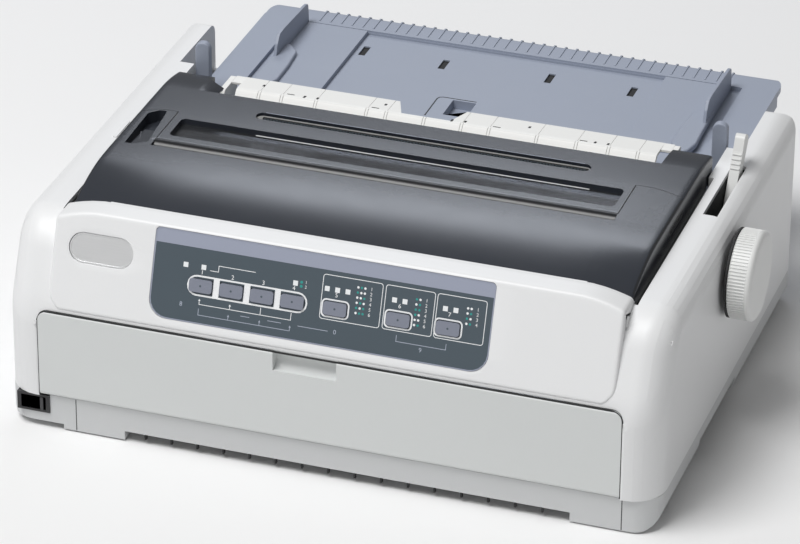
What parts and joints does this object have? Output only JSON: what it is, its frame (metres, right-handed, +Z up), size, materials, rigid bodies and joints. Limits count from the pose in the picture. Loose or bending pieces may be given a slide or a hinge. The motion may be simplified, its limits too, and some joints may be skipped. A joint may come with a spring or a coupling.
{
  "type": "dot matrix printer",
  "caption": "Desktop dot matrix printer with hinged smoked cover, fold-down front door, control panel, platen knob, paper lever and rear sheet tray.",
  "frame": {"origin": "centre of the whole printer's footprint box, on the surface that it stands on", "axes": "+X to the side with the platen knob, +Y to the back with the sheet tray, +Z up; the control panel faces -Y"},
  "size_m": [0.456, 0.421, 0.164],
  "materials": {
    "warm_white": "fine textured moulded casing",
    "door_grey": "fine textured moulded door",
    "base_grey": "textured moulded base",
    "smoke": "smoked translucent moulding",
    "clear_smoke": "clear smoked window",
    "slate": "printed control panel film",
    "lavender": "moulded key",
    "lens": "light window",
    "silver": "bare badge plate",
    "black": "black moulding",
    "tray_blue": "textured moulded tray",
    "off_white": "smooth moulding",
    "steel": "ground steel",
    "zinc": "zinc plated sheet",
    "rubber": "ground rubber",
    "nylon": "nylon",
    "board": "circuit board"
  },
  "bodies": {
    "printer": {"base_pan": "base_grey", "rubber_feet": "rubber", "upper_case": "warm_white", "panel_overlay": "slate", "panel_board": "board", "led_lenses": "lens", "badge_plate": "silver", "switch_housing": "black", "chassis_plate": "zinc", "side_frame_left": "zinc", "side_frame_right": "zinc", "platen_bushes": "nylon", "feed_motor": "steel", "guide_bar": "off_white", "carriage_shaft": "steel", "guide_rail": "zinc", "space_motor": "steel", "timing_belt": "rubber", "paper_chute": "black", "tractor_rod": "steel", "main_board": "board", "power_supply": "zinc", "power_inlet": "black", "interface_ports": "black", "case_screws": "steel", "tear_bar": "steel"},
    "cover": {"access_cover": "smoke", "cover_window": "clear_smoke"},
    "door": {"front_door": "door_grey"},
    "rocker": {"switch_rocker": "black"},
    "platen": {"platen_shaft": "steel", "platen_roller": "rubber", "platen_knob": "off_white", "platen_gear": "nylon"},
    "motor_pinion": {"feed_pinion": "nylon"},
    "idler_gear": {"feed_idler": "nylon"},
    "roller_gear": {"roller_idler": "nylon"},
    "exit_roller": {"pull_roller": "off_white"},
    "feed_shaft": {"tractor_shaft": "steel"},
    "head_carriage": {"carriage": "black", "print_head": "black", "ribbon_cartridge": "black"},
    "winding_knob": {"ribbon_knob": "off_white"},
    "pulley_right": {"drive_pulley": "nylon"},
    "pulley_left": {"idler_pulley": "nylon"},
    "lever": {"paper_lever": "off_white"},
    "tray": {"sheet_tray": "tray_blue"},
    "guide_left": {"paper_guide_left": "tray_blue"},
    "guide_right": {"paper_guide_right": "tray_blue"},
    "feeder_left": {"tractor_left": "black"},
    "feeder_right": {"tractor_right": "black"},
    "feeder_door_left": {"tractor_door_left": "slate"},
    "feeder_door_right": {"tractor_door_right": "slate"},
    "button_1": {"key_1": "lavender"},
    "button_2": {"key_2": "lavender"},
    "button_3": {"key_3": "lavender"},
    "button_4": {"key_4": "lavender"},
    "button_5": {"key_5": "lavender"},
    "button_6": {"key_6": "lavender"},
    "button_7": {"key_7": "lavender"}
  },
  "joints": [
    {"name": "door_hinge", "type": "hinge", "parent": "printer", "child": "door", "pos_m": [-0.01045, -0.2071, 0.0284], "axis": [1, 0, 0], "range_deg": [0, 90]},
    {"name": "cover_hinge", "type": "hinge", "parent": "printer", "child": "cover", "pos_m": [-0.01045, 0.0145, 0.137], "axis": [-1, 0, 0], "range_deg": [0, 65]},
    {"name": "key_1_press", "type": "slide", "parent": "printer", "child": "button_1", "axis": [0, 0.9435, -0.3313], "range_m": [0, 0.0008], "stiffness_N_per_m": 400, "springref_m": -0.001},
    {"name": "key_2_press", "type": "slide", "parent": "printer", "child": "button_2", "axis": [0, 0.9435, -0.3313], "range_m": [0, 0.0008], "stiffness_N_per_m": 400, "springref_m": -0.001},
    {"name": "key_3_press", "type": "slide", "parent": "printer", "child": "button_3", "axis": [0, 0.9435, -0.3313], "range_m": [0, 0.0008], "stiffness_N_per_m": 400, "springref_m": -0.001},
    {"name": "key_4_press", "type": "slide", "parent": "printer", "child": "button_4", "axis": [0, 0.9435, -0.3313], "range_m": [0, 0.0008], "stiffness_N_per_m": 400, "springref_m": -0.001},
    {"name": "key_5_press", "type": "slide", "parent": "printer", "child": "button_5", "axis": [0, 0.9435, -0.3313], "range_m": [0, 0.0008], "stiffness_N_per_m": 400, "springref_m": -0.001},
    {"name": "key_6_press", "type": "slide", "parent": "printer", "child": "button_6", "axis": [0, 0.9435, -0.3313], "range_m": [0, 0.0008], "stiffness_N_per_m": 400, "springref_m": -0.001},
    {"name": "key_7_press", "type": "slide", "parent": "printer", "child": "button_7", "axis": [0, 0.9435, -0.3313], "range_m": [0, 0.0008], "stiffness_N_per_m": 400, "springref_m": -0.001},
    {"name": "power_rocker", "type": "hinge", "parent": "printer", "child": "rocker", "pos_m": [-0.20885, -0.2043, 0.0176], "axis": [0, 0, 1], "range_deg": [0, 16]},
    {"name": "platen_turn", "type": "hinge", "parent": "printer", "child": "platen", "pos_m": [-0.01045, -0.0516, 0.1077], "axis": [1, 0, 0], "continuous": true},
    {"name": "idler_turn", "type": "hinge", "parent": "printer", "child": "idler_gear", "pos_m": [-0.19025, -0.0592, 0.06462], "axis": [1, 0, 0], "continuous": true},
    {"name": "pinion_turn", "type": "hinge", "parent": "printer", "child": "motor_pinion", "pos_m": [-0.19025, -0.07931, 0.04774], "axis": [1, 0, 0], "continuous": true},
    {"name": "roller_gear_turn", "type": "hinge", "parent": "printer", "child": "roller_gear", "pos_m": [-0.19025, -0.00468, 0.11513], "axis": [1, 0, 0], "continuous": true},
    {"name": "exit_roller_turn", "type": "hinge", "parent": "printer", "child": "exit_roller", "pos_m": [-0.19025, 0.02588, 0.12163], "axis": [1, 0, 0], "continuous": true},
    {"name": "feed_shaft_turn", "type": "hinge", "parent": "printer", "child": "feed_shaft", "pos_m": [-0.19025, -0.0012, 0.07528], "axis": [1, 0, 0], "continuous": true},
    {"name": "carriage_travel", "type": "slide", "parent": "printer", "child": "head_carriage", "axis": [1, 0, 0], "range_m": [-0.13, 0.13]},
    {"name": "ribbon_knob_turn", "type": "hinge", "parent": "head_carriage", "child": "winding_knob", "pos_m": [0.00955, -0.1225, 0.138], "axis": [0, 0, 1], "continuous": true},
    {"name": "pulley_right_turn", "type": "hinge", "parent": "printer", "child": "pulley_right", "pos_m": [0.13955, -0.1185, 0.061], "axis": [0, 0, 1], "range_deg": [-720, 720]},
    {"name": "pulley_left_turn", "type": "hinge", "parent": "printer", "child": "pulley_left", "pos_m": [-0.16045, -0.1185, 0.061], "axis": [0, 0, 1], "range_deg": [-720, 720]},
    {"name": "paper_lever_swing", "type": "hinge", "parent": "printer", "child": "lever", "pos_m": [0.1903, -0.0125, 0.09], "axis": [1, 0, 0], "range_deg": [0, 54]},
    {"name": "tray_tilt", "type": "hinge", "parent": "printer", "child": "tray", "pos_m": [-0.01045, 0.0445, 0.112], "axis": [1, 0, 0], "range_deg": [0, 20]},
    {"name": "left_guide_slide", "type": "slide", "parent": "tray", "child": "guide_left", "axis": [1, 0, 0], "range_m": [-0.004, 0.06]},
    {"name": "right_guide_slide", "type": "slide", "parent": "tray", "child": "guide_right", "axis": [1, 0, 0], "range_m": [-0.06, 0.004]},
    {"name": "left_feeder_slide", "type": "slide", "parent": "printer", "child": "feeder_left", "axis": [1, 0, 0], "range_m": [-0.03, 0.08]},
    {"name": "right_feeder_slide", "type": "slide", "parent": "printer", "child": "feeder_right", "axis": [1, 0, 0], "range_m": [-0.08, 0.05]},
    {"name": "left_feeder_door", "type": "hinge", "parent": "feeder_left", "child": "feeder_door_left", "pos_m": [-0.14125, 0.0165, 0.0853], "axis": [0, -1, 0], "range_deg": [0, 95]},
    {"name": "right_feeder_door", "type": "hinge", "parent": "feeder_right", "child": "feeder_door_right", "pos_m": [0.11035, 0.0165, 0.0853], "axis": [0, 1, 0], "range_deg": [0, 95]}
  ],
  "couplings": [
    {"joint": "idler_turn", "follows": "platen_turn", "ratio": -1.3333},
    {"joint": "pinion_turn", "follows": "platen_turn", "ratio": 3.3333},
    {"joint": "roller_gear_turn", "follows": "platen_turn", "ratio": -1.1111},
    {"joint": "exit_roller_turn", "follows": "platen_turn", "ratio": 2.8571},
    {"joint": "feed_shaft_turn", "follows": "platen_turn", "ratio": 1.4286},
    {"joint": "pulley_right_turn", "follows": "carriage_travel", "rad_per_m": -93.023},
    {"joint": "pulley_left_turn", "follows": "carriage_travel", "rad_per_m": -93.023}
  ]
}
